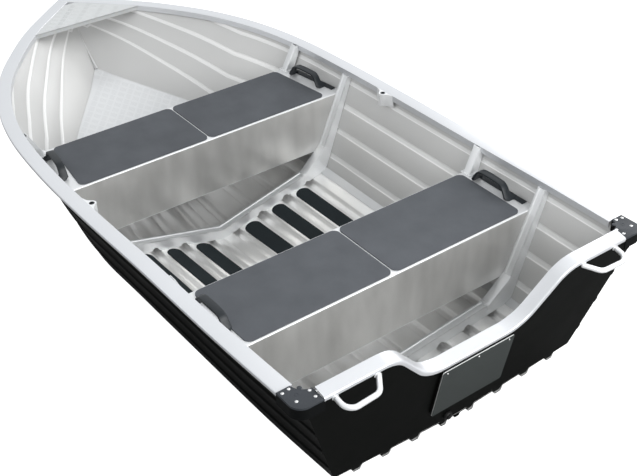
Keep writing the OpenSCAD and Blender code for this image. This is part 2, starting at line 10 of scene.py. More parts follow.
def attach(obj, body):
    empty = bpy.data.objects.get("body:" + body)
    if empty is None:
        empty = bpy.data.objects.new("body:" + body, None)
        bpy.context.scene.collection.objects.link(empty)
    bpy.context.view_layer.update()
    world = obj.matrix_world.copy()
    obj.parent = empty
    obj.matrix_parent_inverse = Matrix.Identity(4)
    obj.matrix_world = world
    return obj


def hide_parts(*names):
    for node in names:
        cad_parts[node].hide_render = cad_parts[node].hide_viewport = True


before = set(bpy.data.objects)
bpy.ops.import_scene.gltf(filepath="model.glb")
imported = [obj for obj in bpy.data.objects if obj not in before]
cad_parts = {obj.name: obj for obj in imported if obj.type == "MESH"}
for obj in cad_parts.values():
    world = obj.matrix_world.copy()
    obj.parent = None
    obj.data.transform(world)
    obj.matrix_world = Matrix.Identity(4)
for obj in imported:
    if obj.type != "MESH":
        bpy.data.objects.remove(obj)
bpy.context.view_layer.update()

# Hull form

# Sections from the transom to the stem head, port half:
# sheer x, y, z, chine x, y, z, keel x, z
HULL = [
    (-35, 695, 566, 62, 530, 92, 68, 50),
    (400, 708, 560, 400, 545, 90, 400, 29),
    (850, 712, 555, 850, 552, 91, 850, 1),
    (1250, 720, 549, 1250, 556, 91, 1250, -24),
    (1600, 718, 546, 1600, 556, 93, 1600, -46),
    (1920, 694, 550, 1900, 506, 120, 1860, -20),
    (2180, 632, 559, 2120, 406, 166, 2070, 24),
    (2400, 525, 572, 2300, 290, 215, 2240, 78),
    (2570, 392, 586, 2430, 180, 262, 2380, 144),
    (2700, 268, 596, 2530, 92, 300, 2500, 216),
    (2810, 130, 607, 2602, 40, 322, 2580, 274),
    (2905, 3, 617, 2648, 3, 342, 2642, 330),
]
LAST = len(HULL) - 1
PLATE = 3.0
BOTTOM, SIDE = 0, 1
RIBS = {
    BOTTOM: [(0.115, 0.036, 18.7), (0.355, 0.048, 19.0), (0.594, 0.048, 19.0), (0.823, 0.046, 18.0)],
    SIDE: [(0.16, 0.030, 5.0), (0.41, 0.030, 5.0), (0.65, 0.030, 5.0), (0.87, 0.022, 3.0)],
}
# where the side plates begin over the chine and end under the rail, and the share of a side rib's
# depth that shows inside
SIDE_FOOT, SIDE_TOP, SIDE_DIP = 0.014, 0.993, 0.45
# how far the plates stay off the boat's middle
MIDDLE = 0.4
# half width of the floor, where the pads lie
FLOOR_HALF = 556.0
# the rail's reach outward from the sheer, its width, the depth of its inner lip, and where it begins
RAIL_OUT, RAIL_W, RAIL_LIP, RAIL_FROM = 26.0, 58.0, 26.0, 68.0

STANCE = math.radians(3.31881)
STAND = (
    Matrix.Scale(0.001, 4)
    @ Matrix.Translation((-1385.5, 0, -39.0193))
    @ Matrix.Rotation(-STANCE, 4, "Y")
)


def clamp(v, lo, hi):
    return min(max(v, lo), hi)


def lerp(a, b, f):
    return a + (b - a) * f


def smooth_step(f):
    f = clamp(f, 0.0, 1.0)
    return f * f * (3 - 2 * f)


def curve(a, b, c, d, f):
    """Point at share f between b and c, on the smooth curve through four points."""
    return [
        0.5 * (2 * q + (r - p) * f + (2 * p - 5 * q + 4 * r - s) * f * f + (3 * q - p - 3 * r + s) * f**3)
        for p, q, r, s in zip(a, b, c, d)
    ]


def row(t):
    """The hull table's numbers at station t, which may lie between two rows."""
    i = int(clamp(math.floor(t), 0, LAST - 1))
    b, c = HULL[i], HULL[i + 1]
    a = HULL[i - 1] if i > 0 else [2 * p - q for p, q in zip(b, c)]
    d = HULL[i + 2] if i + 2 <= LAST else [2 * q - p for p, q in zip(b, c)]
    return curve(a, b, c, d, t - i)


def sheer(t):
    return Vector(row(t)[0:3])


def chine(t):
    return Vector(row(t)[3:6])


def keel(t):
    r = row(t)
    return Vector((r[6], 0, r[7]))


def station(x, line=chine):
    """Station at which a line of the hull reaches x."""
    lo, hi = 0.0, float(LAST)
    for _ in range(24):
        mid = (lo + hi) / 2
        if line(mid).x < x:
            lo = mid
        else:
            hi = mid
    return (lo + hi) / 2


def lower(p, t):
    return keel(t) if p == BOTTOM else chine(t)


def upper(p, t):
    return chine(t) if p == BOTTOM else sheer(t)


def on_plate(p, t, u):
    return lower(p, t).lerp(upper(p, t), u)


def outward(p, t, u):
    ta, tb = max(t - 0.1, 0), min(t + 0.1, LAST)
    along = on_plate(p, tb, u) - on_plate(p, ta, u)
    return (upper(p, t) - lower(p, t)).cross(along).normalized()


def rib_places(p, t):
    """Centre, half width and depth of each pressed rib at station t."""
    out = []
    for c, h, d in RIBS[p]:
        if p == BOTTOM:
            out.append((c, h, d * clamp((8 - t) / 2, 0, 1)))
        else:
            # side ribs draw upward, narrow and fade toward the bow
            lift = 0.13 * max(0, t - 6.3) * (1 if t < 10.5 else 0.9)
            c2 = min(c + lift * (1 - 0.5 * c), 0.955 - (0.9 - c) * 0.12)
            h2 = h * lerp(1, 0.5, clamp((t - 6) / 5, 0, 1))
            out.append((c2, h2, d * clamp((10.6 - t) / 1.5, 0, 1)))
    return out


RIB_SHAPE = (-1.0, -0.86, -0.72, -0.58, -0.45, -0.2, 0.2, 0.45, 0.58, 0.72, 0.86, 1.0)


def rib_points(p, t):
    """Places across a plate and how far each one is pressed outward."""
    pts = [(0.0 if p == BOTTOM else SIDE_FOOT, 0.0)]
    for c, h, d in rib_places(p, t):
        for k in RIB_SHAPE:
            pts.append((c + k * h, d * smooth_step((1 - abs(k)) / 0.55)))
    pts.append((1.0, 0.0))
    return pts


def skin(p, t, q, inset=0.0):
    """Point of a plate: q is its place across the plate and how far it is pressed outward."""
    s = on_plate(p, t, q[0]) + outward(p, t, q[0]) * (q[1] - inset)
    if p == BOTTOM and q[0] == 0:
        return Vector((s.x, 0, s.z))
    return Vector((s.x, max(s.y, MIDDLE), s.z))


# a plate's thickness measured across the boat or upright, as a share of its own
SIDE_SLANT, BOTTOM_SLANT = 1.06, 1.02


def inner_side(x, z):
    """Half width inside the side plate, at height z."""
    t = station(x)
    c, s = chine(t), sheer(t)
    return lerp(c.y, s.y, (z - c.z) / (s.z - c.z)) - PLATE * SIDE_SLANT


def inner_bottom(x, y):
    """Height of the bottom plate's upper face between its ribs."""
    t = station(x)
    k, c = keel(t), chine(t)
    return lerp(k.z, c.z, y / c.y) + PLATE * BOTTOM_SLANT


# Mesh helpers


def unit_circle(sides):
    turns = [2 * math.pi * k / sides for k in range(sides)]
    return [(math.cos(a), math.sin(a)) for a in turns]


def heading(path, i):
    """Direction of a line of points at its point i."""
    return (Vector(path[min(i + 1, len(path) - 1)]) - Vector(path[max(i - 1, 0)])).normalized()


def put(name, data):
    """Adds an object to the scene."""
    ob = bpy.data.objects.new(name, data)
    bpy.context.scene.collection.objects.link(ob)
    return ob


class Piece:
    """A mesh under construction in the boat's own axes."""

    def __init__(self):
        self.bm = bmesh.new()

    def add(self, points, faces, mat=0):
        """Faces between points; a face may come paired with a material of its own."""
        vs = [self.bm.verts.new(p) for p in points]
        made = []
        for f in faces:
            m = mat
            if isinstance(f, tuple):
                f, m = f
            try:
                face = self.bm.faces.new([vs[i] for i in f])
            except ValueError:
                continue
            face.material_index = m
            made.append(face)
        return made

    def shell(self, outer, inner, mats=(0, 1, 0), bands=()):
        """Sheet between two grids; mats are for outside, inside and rim, bands are columns of material 2."""
        rows, cols = len(outer), len(outer[0])
        pts = [p for r in outer for p in r] + [p for r in inner for p in r]
        off = rows * cols
        faces = []
        for i in range(rows - 1):
            for j in range(cols - 1):
                a, b, c, d = i * cols + j, i * cols + j + 1, (i + 1) * cols + j + 1, (i + 1) * cols + j
                faces.append(([a, b, c, d], mats[0]))
                faces.append(([off + a, off + d, off + c, off + b], 2 if j in bands else mats[1]))
        for i in range(rows - 1):
            for j in (0, cols - 1):
                a, b = i * cols + j, (i + 1) * cols + j
                faces.append(([a, b, off + b, off + a] if j == 0 else [a, off + a, off + b, b], mats[2]))
        for j in range(cols - 1):
            for i in (0, rows - 1):
                a, b = i * cols + j, i * cols + j + 1
                faces.append(([a, off + a, off + b, b] if i == 0 else [a, b, off + b, off + a], mats[2]))
        self.add(pts, faces)

    def sweep(self, sections, mat=0, caps=True):
        """A skin over closed sections of equal length."""
        n = len(sections[0])
        pts = [p for s in sections for p in s]
        faces = []
        for i in range(len(sections) - 1):
            for j in range(n):
                k = (j + 1) % n
                faces.append([i * n + j, (i + 1) * n + j, (i + 1) * n + k, i * n + k])
        if caps:
            faces.append(list(range(n)))
            faces.append(list(range((len(sections) - 1) * n, len(sections) * n))[::-1])
        return self.add(pts, faces, mat)

    def prism(self, outline, place, depth, mat=0, bevel=0.0):
        """Extrudes a 2-D outline and rounds its top edge; place(u, v, w) gives the point at height w."""
        n = len(outline)
        low = [place(u, v, 0.0) for u, v in outline]
        high = [place(u, v, depth) for u, v in outline]
        faces = [list(range(n))[::-1], list(range(n, 2 * n))]
        faces += [[i, (i + 1) % n, n + (i + 1) % n, n + i] for i in range(n)]
        made = self.add(low + high, faces, mat)
        if bevel:
            self.round(list(made[1].edges), bevel, 3)
        return made

    def round(self, edges, size, segments, mat=-1):
        bmesh.ops.bevel(
            self.bm, geom=edges, offset=size, segments=segments, affect="EDGES", profile=0.5, material=mat
        )

    def box(self, lo, hi, bevel, matrix=None):
        """A block with rounded edges between two corners."""
        vs = bmesh.ops.create_cube(self.bm, size=1.0)["verts"]
        for v in vs:
            v.co = Vector([lerp(lo[i], hi[i], v.co[i] + 0.5) for i in range(3)])
            if matrix:
                v.co = matrix @ v.co
        self.round(list({e for v in vs for e in v.link_edges}), bevel, 2)

    def tube(self, path, radius, sides=14, mat=0, flat=1.0):
        """Round or flattened bar along a path of points."""
        rings = []
        for i, p in enumerate(path):
            d = heading(path, i)
            side = d.cross(Vector((0, 0, 1))).normalized()
            top = side.cross(d).normalized()
            rings.append([p + side * radius * u + top * radius * flat * v for u, v in unit_circle(sides)])
        self.sweep(rings, mat)

    def dome(self, centre, normal, radius, height, mat=0, sides=12, rings=3):
        """A rivet or screw head, sunk a little into what it sits on."""
        sunk = 0.3
        n = Vector(normal).normalized()
        a = n.orthogonal().normalized()
        b = n.cross(a)
        secs = []
        for i in range(rings):
            f = i / rings * math.pi / 2
            r, h = radius * math.cos(f), height * math.sin(f)
            secs.append([centre + n * h + (a * u + b * v) * r for u, v in unit_circle(sides)])
        secs.insert(0, [q - n * sunk for q in secs[0]])
        points = [p for s in secs for p in s] + [centre + n * height]
        faces = [list(range(sides))[::-1]]
        for i in range(rings):
            for j in range(sides):
                k = (j + 1) % sides
                faces.append([i * sides + j, i * sides + k, (i + 1) * sides + k, (i + 1) * sides + j])
        top = rings * sides
        faces += [[top + j, top + (j + 1) % sides, len(points) - 1] for j in range(sides)]
        self.add(points, faces, mat)

    def mirrored(self):
        """Adds the same piece on the other side of the boat."""
        geom = self.bm.verts[:] + self.bm.edges[:] + self.bm.faces[:]
        new = bmesh.ops.duplicate(self.bm, geom=geom)["geom"]
        vs = [g for g in new if isinstance(g, bmesh.types.BMVert)]
        fs = [g for g in new if isinstance(g, bmesh.types.BMFace)]
        for v in vs:
            v.co.y = -v.co.y
        bmesh.ops.reverse_faces(self.bm, faces=fs)

    def handed(self, side):
        """Turns a port piece over for starboard, and gives the name of its side."""
        if side > 0:
            return "port"
        for v in self.bm.verts:
            v.co.y = -v.co.y
        bmesh.ops.reverse_faces(self.bm, faces=self.bm.faces[:])
        return "starboard"

    def finish(self, name, mats, slot, node, sharp=34):
        """Makes the object that takes the place of one CAD node."""
        bm = self.bm
        bmesh.ops.remove_doubles(bm, verts=bm.verts[:], dist=0.02)
        bmesh.ops.recalc_face_normals(bm, faces=bm.faces[:])
        bmesh.ops.transform(bm, matrix=STAND, verts=bm.verts[:])
        me = bpy.data.meshes.new(name)
        bm.to_mesh(me)
        bm.free()
        for m in mats:
            me.materials.append(m)
        for f in me.polygons:
            f.use_smooth = True
        me.set_sharp_from_angle(angle=math.radians(sharp))
        ob = put(name, me)
        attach(ob, "root")
        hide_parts(node)


# Materials


class Sock:
    """One output of a material's nodes, with arithmetic."""

    def __init__(self, tree, out):
        self.tree, self.out = tree, out

    def op(self, kind, other):
        n = self.tree.nodes.new("ShaderNodeMath")
        n.operation = kind
        for socket, value in zip(n.inputs, (self, other)):
            if isinstance(value, Sock):
                self.tree.links.new(value.out, socket)
            else:
                socket.default_value = value
        return Sock(self.tree, n.outputs[0])

    def __add__(self, other):
        return self.op("ADD", other)

    def __mul__(self, other):
        return self.op("MULTIPLY", other)

    def clip(self, lo, hi):
        return self.op("MAXIMUM", lo).op("MINIMUM", hi)


class Look:
    """A material built from nodes."""

    def __init__(self, name, **values):
        self.mat = bpy.data.materials.new(name)
        self.mat.use_nodes = True
        self.tree = self.mat.node_tree
        self.shader = self.tree.nodes["Principled BSDF"]
        for k, v in values.items():
            self.shader.inputs[k.replace("_", " ")].default_value = v
        self.mat.diffuse_color = values["Base_Color"]
        self.coords = self.node("ShaderNodeTexCoord", "Object")

    def node(self, kind, out=0, **sockets):
        n = self.tree.nodes.new(kind)
        for k, v in sockets.items():
            s = n.inputs[k.replace("_", " ")]
            if isinstance(v, Sock):
                self.tree.links.new(v.out, s)
            else:
                s.default_value = v
        return Sock(self.tree, n.outputs[out])

    def noise(self, scale, detail=3.0, rough=0.5, stretch=(1, 1, 1)):
        v = self.node("ShaderNodeMapping", Vector=self.coords, Scale=stretch)
        return self.node("ShaderNodeTexNoise", Vector=v, Scale=scale, Detail=detail, Roughness=rough)

    def ramp(self, fac, *stops):
        """Colours by value, from pairs of a position and a colour."""
        n = self.tree.nodes.new("ShaderNodeValToRGB")
        els = n.color_ramp.elements
        while len(els) < len(stops):
            els.new(0.5)
        for e, (pos, col) in zip(els, stops):
            e.position = pos
            e.color = col
        self.tree.links.new(fac.out, n.inputs[0])
        return Sock(self.tree, n.outputs[0])

    def bump(self, height, strength, distance):
        n = self.node("ShaderNodeBump", Height=height, Strength=strength, Distance=distance)
        self.tree.links.new(n.out, self.shader.inputs["Normal"])

    def feed(self, name, sock):
        self.tree.links.new(sock.out, self.shader.inputs[name])


def grey(value, tint):
    return tuple(value * c for c in tint) + (1,)


PLAIN = (1, 1, 1)
LENGTHWISE, ACROSS = (1, 8, 8), (8, 1, 8)


def sheet_look(name, value, rough, metal, tint, streak, amount, grain=220.0, haze=0.0):
    """Rolled or brushed aluminium: slow mottling, and a fine grain that streak stretches."""
    m = Look(name, Base_Color=grey(value, tint), Metallic=metal, Roughness=rough)
    slow = m.noise(2.6, 3.0)
    fine = m.noise(grain, 2.0, 0.6, streak)
    tone = slow * 0.6 + fine * 0.4
    if haze:
        # broad upright smears, as on hand finished sheet
        amount = haze
        tone = slow * 0.25 + fine * 0.20 + m.noise(3.4, 2.0, 0.5, (1.0, 3.0, 0.9)) * 0.55
    lo, hi = (grey(min(value * (1 + sign * amount), 0.97), tint) for sign in (-1, 1))
    m.feed("Base Color", m.ramp(tone, (0.34, lo), (0.66, hi)))
    m.feed("Roughness", (fine * 0.14 + slow * 0.08 + (rough - 0.11)).clip(0.05, 0.95))
    m.bump(fine, 0.06, 0.0006)
    return m.mat


def soft_look(name, colour, rough, scale, strength, mottling, spec):
    """Foam sheet, rubber or moulded plastic with a fine grain."""
    m = Look(name, Base_Color=colour + (1,), Roughness=rough, Specular_IOR_Level=spec)
    slow = m.noise(9.0, 4.0)
    fine = m.noise(scale, 2.0, 0.55)
    lo, hi = (grey(1 + sign * mottling, colour) for sign in (-1, 1))
    m.feed("Base Color", m.ramp(slow * 0.5 + fine * 0.5, (0.36, lo), (0.64, hi)))
    m.feed("Roughness", (slow * 0.12 + (rough - 0.06)).clip(0.05, 1.0))
    m.bump(fine, strength, 0.0008)
    return m.mat


# each with its brightness, roughness, metal, tint, streak, mottling, grain and haze
inside = sheet_look("bare_sheet", 0.59, 0.52, 0.45, (1.0, 0.998, 0.985), (1, 6, 6), 0.05)
# painted highlight: a lighter copy of the bare sheet for the crests of the side ribs
rib_painted_highlight = sheet_look("rib_crest_painted_highlight", 0.80, 0.46, 0.35, (1.0, 0.998, 0.99), (1, 6, 6), 0.04)
floor_sheet = sheet_look("floor_sheet", 0.86, 0.36, 0.62, (1.0, 0.998, 0.985), (1, 6, 6), 0.07)
brushed = sheet_look("brushed_sheet", 0.60, 0.36, 0.85, (1.0, 0.992, 0.97), (1, 30, 1), 0.07, 90.0, 0.20)
seat_top = sheet_look("seat_top_sheet", 0.80, 0.42, 0.55, (0.99, 1.0, 1.01), ACROSS, 0.03)
rail_look = sheet_look("rail_anodised", 0.70, 0.36, 0.55, (0.975, 0.99, 1.02), LENGTHWISE, 0.03)
strip_look = sheet_look("bright_strip", 0.62, 0.40, 0.45, (0.985, 1.0, 1.01), LENGTHWISE, 0.05)
weld = sheet_look("weld_bead", 0.74, 0.42, 0.70, PLAIN, PLAIN, 0.08, 900.0)
frame_look = sheet_look("frame_sheet", 0.80, 0.40, 0.45, (0.985, 1.0, 1.01), ACROSS, 0.06)
tread = sheet_look("tread_plate", 0.66, 0.42, 0.60, (0.985, 1.0, 1.0), PLAIN, 0.05)
bow_tread = sheet_look("bow_tread", 0.84, 0.50, 0.30, (0.99, 1.0, 1.01), PLAIN, 0.03)
bow_bar = sheet_look("bow_tread_bar", 0.78, 0.46, 0.40, (0.99, 1.0, 1.01), PLAIN, 0.04)
cast = sheet_look("cast_metal", 0.84, 0.34, 0.50, (0.99, 1.0, 1.01), PLAIN, 0.03, 400.0)
rivet = sheet_look("rivet_metal", 0.80, 0.25, 0.85, PLAIN, PLAIN, 0.03, 300.0)
# each with its colour, roughness, grain, bump, mottling and specular level
paint = soft_look("black_paint", (0.0013, 0.0016, 0.0013), 0.42, 700.0, 0.04, 0.20, 0.035)
grip = soft_look("grip_pad", (0.088, 0.094, 0.104), 0.85, 900.0, 0.25, 0.14, 0.20)
floor_grip = soft_look("floor_pad", (0.018, 0.024, 0.027), 0.85, 900.0, 0.30, 0.14, 0.20)
black = soft_look("black_moulding", (0.012, 0.0155, 0.019), 0.40, 1200.0, 0.10, 0.12, 0.38)
corner_look = soft_look("corner_moulding", (0.032, 0.036, 0.042), 0.50, 1500.0, 0.30, 0.25, 0.25)
motor_look = soft_look("motor_pad", (0.032, 0.037, 0.036), 0.60, 1000.0, 0.06, 0.06, 0.25)
edge_look = soft_look("motor_pad_edge", (0.52, 0.53, 0.52), 0.5, 1000.0, 0.08, 0.08, 0.35)
skirt_look = soft_look("skirt_moulding", (0.003, 0.0034, 0.0036), 0.50, 900.0, 0.15, 0.12, 0.06)
plug_look = soft_look("plug_rubber", (0.006, 0.006, 0.006), 0.45, 900.0, 0.15, 0.12, 0.30)

# Plating


def plate_piece(p, side):
    k = Piece()
    steps = 7
    ts = [i / steps for i in range(LAST * steps + 1)]
    inner_dip, top = (1.0, 1.0) if p == BOTTOM else (SIDE_DIP, SIDE_TOP)

    def grid(dip, inset):
        return [[skin(p, t, (min(u, top), d * dip), inset) for u, d in rib_points(p, t)] for t in ts]

    # the crest of each side rib gets a lighter copy of the sheet than the plate: a painted highlight, where
    # light catches the ribs
    n = len(RIB_SHAPE)
    bands = [1 + n * r + c for r in range(len(RIBS[SIDE])) for c in range(1, n - 2)] if p == SIDE else []
    k.shell(grid(1.0, 0.0), grid(inner_dip, PLATE), bands=bands)
    where = k.handed(side)
    if p == BOTTOM:
        what, slot, lining = "bottom", "bare_hull", floor_sheet
    else:
        what, slot, lining = "side", "painted_hull", inside
    k.finish(f"skin_{what}_{where}", [paint, lining, rib_painted_highlight], slot, f"hull_{what}_{where}", 50)


for part in (BOTTOM, SIDE):
    for hand in (1, -1):
        plate_piece(part, hand)


def chine_strip_piece():
    k = Piece()
    secs = []
    for i in range(41):
        t = lerp(0.12, 5.2, i / 40)
        c = chine(t)
        w = clamp(c.y * 0.10, 8, 30)
        ub = 1 - w / (chine(t) - keel(t)).length
        us = w * 0.45 / (sheer(t) - chine(t)).length
        a, b = skin(BOTTOM, t, (ub, 0), PLATE - 0.3), skin(SIDE, t, (us, 0), PLATE - 0.3)
        n = -(outward(BOTTOM, t, 1) + outward(SIDE, t, 0)) / 2
        secs.append([a, b, b + n * 3.2, b + n * 4, a + n * 4, a + n * 3.2])
    k.sweep(secs)
    k.mirrored()
    k.finish("chine_strip_pair", [strip_look], "bright_sheet", "chine_strips")


chine_strip_piece()

# height of the bow floor over the chine, its first and last station, and the pitch of its tread
FLOOR_LIFT, FLOOR_FROM, FLOOR_TO = 8.0, 5.1, LAST - 0.08
TREAD = 34.0


def bow_floor_piece():
    k = Piece()

    def edge(t, h):
        return skin(SIDE, t, (h / (sheer(t) - chine(t)).length, 0), PLATE - 0.3)

    ts = [lerp(FLOOR_FROM, FLOOR_TO, i / 60) for i in range(61)]
    secs = []
    for t in ts:
        a, b = edge(t, FLOOR_LIFT), edge(t, FLOOR_LIFT - 3)
        secs.append([a, Vector((a.x, -a.y, a.z)), Vector((b.x, -b.y, b.z)), b])
    k.sweep(secs)
    # tread raised on the plate
    line = [edge(t, FLOOR_LIFT) for t in ts]

    def top(u, v, w):
        for a, b in zip(line, line[1:]):
            if a.x <= u <= b.x:
                f = (u - a.x) / (b.x - a.x)
                n = Vector((-(b.z - a.z), 0, b.x - a.x)).normalized()
                return Vector((u, v, lerp(a.z, b.z, f))) + n * w, lerp(a.y, b.y, f)
        return None, 0.0

    tread_bars(k, 1, line[0].x + 26, line[-1].x - 20, top, 18.0, 0.55)
    # weld beads along both edges
    for hand in (1, -1):
        k.tube([Vector((p.x, (p.y - 1.2) * hand, p.z + 0.6)) for p in line], 2.0, 8, 2)
    k.finish("bow_floor_plate", [bow_tread, bow_bar, weld], "bow_tread", "bow_floor", 30)


BAR_FOOT = [(-0.40, 0), (-0.26, 0.05), (0.26, 0.05), (0.40, 0), (0.26, -0.05), (-0.26, -0.05)]
BAR_CREST = [(-0.22, 0), (-0.16, 0.014), (0.16, 0.014), (0.22, 0), (0.16, -0.014), (-0.16, -0.014)]


def tread_bars(k, mat, u0, u1, place, margin, height):
    """Groups of five raised bars, every other group turned a quarter, set cornerwise on a plate."""
    step = TREAD / math.sqrt(2)
    for i in range(int((u1 - u0) / step) + 1):
        for j in range(-40, 41):
            if (i + j) % 2:
                continue
            u, v = u0 + i * step, j * step
            p, half = place(u, v, 0)
            if p is None or abs(v) > half - margin:
                continue
            turned = ((i + j) // 2) % 2
            d = Vector((1, 1 if turned else -1)).normalized()
            e = Vector((-d.y, d.x))
            for m in range(-2, 3):
                c = Vector((u, v)) + e * m * TREAD * 0.17
                pts = []
                for w, prof in ((-0.02, BAR_FOOT), (height, BAR_CREST)):
                    for a, b in prof:
                        q = c + d * a * TREAD + e * b * TREAD
                        pts.append(place(q.x, q.y, w)[0] or p)
                faces = [[n, (n + 1) % 6, 6 + (n + 1) % 6, 6 + n] for n in range(6)] + [[6, 7, 8, 9, 10, 11]]
                k.add(pts, faces, mat)


bow_floor_piece()


def keel_piece():
    k = Piece()
    secs = []
    for i in range(67):
        t = i / 6
        a = keel(min(t + 0.1, LAST)) - keel(max(t - 0.1, 0))
        n = Vector((a.z, 0, -a.x)).normalized()
        w = 15 * lerp(1, 0.55, clamp((t - 6) / 5, 0, 1))
        dn = lerp(10, 2.5, min(t / 4, 1)) + 3 * clamp((t - 4) / 2, 0, 1)
        c = keel(t) - n * 0.3
        prof = [(1, 0), (-1, 0), (-0.62, dn - 0.6), (-0.5, dn), (0.5, dn), (0.62, dn - 0.6)]
        secs.append([c + Vector((0, w * y, 0)) + n * h for y, h in prof])
    k.sweep(secs)
    k.finish("keel_strip", [paint], "painted_trim", "keel_bar", 40)


keel_piece()


STEM = [(9, -9), (-9, -9), (-9, 2), (-7.6, 4.6), (-5, 6.4), (-2.5, 7), (2.5, 7), (5, 6.4), (7.6, 4.6), (9, 2)]


def stem_piece():
    k = Piece()
    foot, head = chine(LAST), sheer(LAST) - Vector((0, 0, 6))
    foot.y = head.y = 0

    def centre(f, g):
        """Point at share g from the foot to the head, with the bulge of share f."""
        return foot.lerp(head, g) + Vector((12, 0, -10)) * math.sin(math.pi * f)

    secs = []
    for i in range(25):
        f = i / 24
        hi, lo = min(f + 0.05, 1), max(f - 0.05, 0)
        d = centre(hi, hi) - centre(lo, lo)
        n = Vector((d.z, 0, -d.x)).normalized()
        secs.append([centre(f, f) + Vector((0, y, 0)) + n * z for y, z in STEM])
    # the face toward the inside is bare
    for n, face in enumerate(k.sweep(secs)[: 24 * len(STEM)]):
        if n % len(STEM) == 0:
            face.material_index = 1
    # rounded strip over the inner seam, between the floor plate and the bow plate
    shares = [i / 16 for i in range(17)]
    k.tube([centre(f, lerp(0.025, 0.97, f)) + Vector((-19, 0, 5)) for f in shares], 4.2, 12, 1, 0.5)
    k.finish("stem_strip", [paint, weld], "painted_trim", "stem_bar", 50)


stem_piece()

# Gunwale rail

# outward from the sheer and up from it
RAIL = [
    (-32, -1.2), (-31.4, -0.3), (-30.4, 0), (20.9, 0), (22.45, -0.24), (23.84, -0.95), (24.95, -2.06),
    (25.66, -3.45), (25.9, -5), (25.9, -11.6), (25.3, -12.8), (24, -13), (23, -12), (22.8, -5), (22, -4),
    (-28, -4), (-29, -5), (-29, -25), (-29.8, -26), (-31.4, -26), (-32, -25),
]


def rail_point(t, a, b):
    """Point a outward and b up from the sheer; at the stem head it is carried on to the middle."""
    g = sheer(min(t + 0.1, LAST)) - sheer(max(t - 0.1, 0))
    side = Vector((-g.y, g.x, 0)).normalized()
    q = sheer(t) + side * a + Vector((0, 0, b))
    if t >= LAST:
        g.normalize()
        q = q + g * (q.y / -g.y)
    return q


def rail_piece(side):
    k = Piece()
    t0 = station(RAIL_FROM, sheer)
    secs = []
    for i in range(91):
        t = lerp(t0, LAST, i / 90)
        secs.append([rail_point(t, a, b) for a, b in RAIL])
    k.sweep(secs)
    where = k.handed(side)
    k.finish(f"rail_{where}", [rail_look], "rail", f"gunwale_{where}", 30)


for hand in (1, -1):
    rail_piece(hand)

# Breasthook

HOOK_X = 2680.0


def breasthook_piece():
    k = Piece()
    t0 = station(HOOK_X, sheer)
    ts = [lerp(t0, LAST - 0.35, i / 24) for i in range(25)]
    edge = [rail_point(t, RAIL_OUT - RAIL_W + 1.5, 0) for t in ts]
    za = sheer(t0).z - 1.5
    slope = math.atan((sheer(LAST).z - sheer(t0).z) / (sheer(LAST).x - HOOK_X))
    ex = edge[0].x
    tilt = Matrix.Translation((ex, 0, za)) @ Matrix.Rotation(-slope, 4, "Y")

    def place(u, v, w):
        return tilt @ Vector((u, v, w))

    out = [(e.x - ex, max(e.y, 2)) for e in edge] + [(e.x - ex, -max(e.y, 2)) for e in edge[::-1]]
    k.prism(out, lambda u, v, w: place(u, v, w - PLATE), PLATE)
    # turned-down after edge
    yb = edge[0].y - 4
    lip = [(0, 0), (PLATE, 0), (PLATE, -19), (0, -19)]
    k.add([place(u, y, w) for y in (-yb, yb) for u, w in lip],
          [[0, 1, 2, 3], [7, 6, 5, 4], [0, 4, 5, 1], [1, 5, 6, 2], [2, 6, 7, 3], [3, 7, 4, 0]])
    half = [(e.x - ex, e.y) for e in edge]

    def top(u, v, w):
        for (ua, va), (ub, vb) in zip(half, half[1:]):
            if ua <= u <= ub:
                return place(u, v, w), lerp(va, vb, (u - ua) / (ub - ua))
        return None, 0.0

    tread_bars(k, 0, 16.0, half[-1][0] - 8, top, 14.0, 0.9)
    k.finish("bow_plate", [tread], "tread_plate", "breasthook", 25)


breasthook_piece()

# Frames

# seats' length and height, the seats' aft edges and tops, and the frames' width and height
SEAT_L, SEAT_H = 346.0, 254.0
FWD_X, AFT_X, FWD_Z, AFT_Z = 1590.0, 404.0, 438.0, 449.0
FRAME_W, FRAME_H = 38.0, 48.0


def frame_lines(x):
    """A frame's outer line from the chine up and its inner line from the keel up, port half."""
    c = chine(station(x))
    top = sheer(station(x)).z - RAIL_LIP + 2
    outer = [
        (c.y - 34, inner_bottom(x, c.y - 34)),
        (inner_side(x, c.z + 14), c.z + 14),
        (inner_side(x, top), top),
    ]
    inner = [
        (0, inner_bottom(x, 0) + FRAME_H),
        (c.y - 112, inner_bottom(x, c.y - 112) + FRAME_H),
        (inner_side(x, c.z + 116) - 52, c.z + 116),
        (inner_side(x, top) - 26, top),
    ]
    return outer, inner


def resample(line, m):
    """The line cut into m equal steps."""
    run = [0.0]
    for a, b in zip(line, line[1:]):
        run.append(run[-1] + math.dist(a, b))
    res = []
    for i in range(m + 1):
        s = run[-1] * i / m
        j = min(max(q for q in range(len(run)) if run[q] <= s + 1e-9), len(line) - 2)
        f = (s - run[j]) / max(run[j + 1] - run[j], 1e-9)
        res.append((lerp(line[j][0], line[j + 1][0], f), lerp(line[j][1], line[j + 1][1], f)))
    return res


FRAME_CAP = [(0, -5), (0, -1.5), (0.5, -0.4), (1.6, 0), (8, 0), (11, -3)]
FRAME_SLEEVE = [(-1.6, -22), (-1.6, 0.4), (-1.2, 1.2), (-0.4, 1.6)]


def both_edges(half):
    """A profile over the frame's whole width from its half."""
    return half + [(FRAME_W - u, h) for u, h in half[::-1]]


